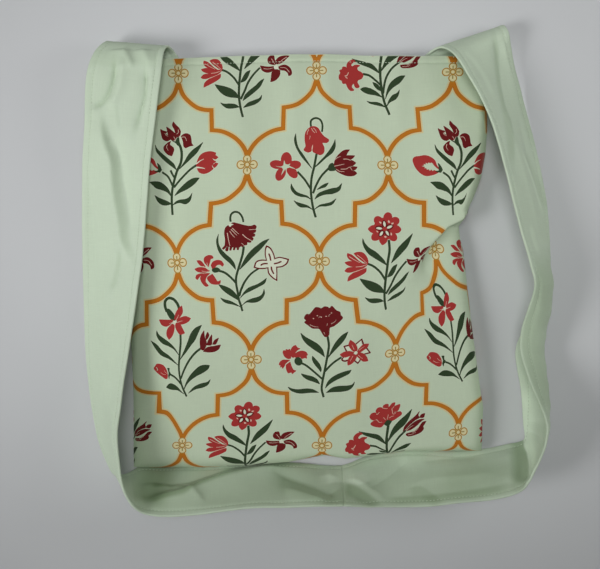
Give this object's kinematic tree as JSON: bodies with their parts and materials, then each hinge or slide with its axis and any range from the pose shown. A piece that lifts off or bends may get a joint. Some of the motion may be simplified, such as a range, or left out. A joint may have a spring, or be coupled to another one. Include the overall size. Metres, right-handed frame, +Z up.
{
  "type": "cotton messenger bag",
  "caption": "Flat soft cotton shoulder bag lying on its back, floral lattice print on the cloth, with a wide plain strap laid round it as a loop.",
  "frame": {"origin": "under the middle of the whole outline, on the surface the bag lies on", "axes": "+X to the right as the front is seen, +Y toward the mouth, +Z up out of the printed front"},
  "size_m": [0.466, 0.4787, 0.0676],
  "materials": {
    "printed_cloth": "matte plain-weave cotton, pale mint ground with a printed floral lattice",
    "strap_cloth": "matte plain-weave cotton, pale mint, topstitched"
  },
  "bodies": {
    "root": {"front_panel": "printed_cloth", "back_panel": "printed_cloth", "strap_left": "strap_cloth", "strap_right": "strap_cloth"}
  },
  "joints": []
}
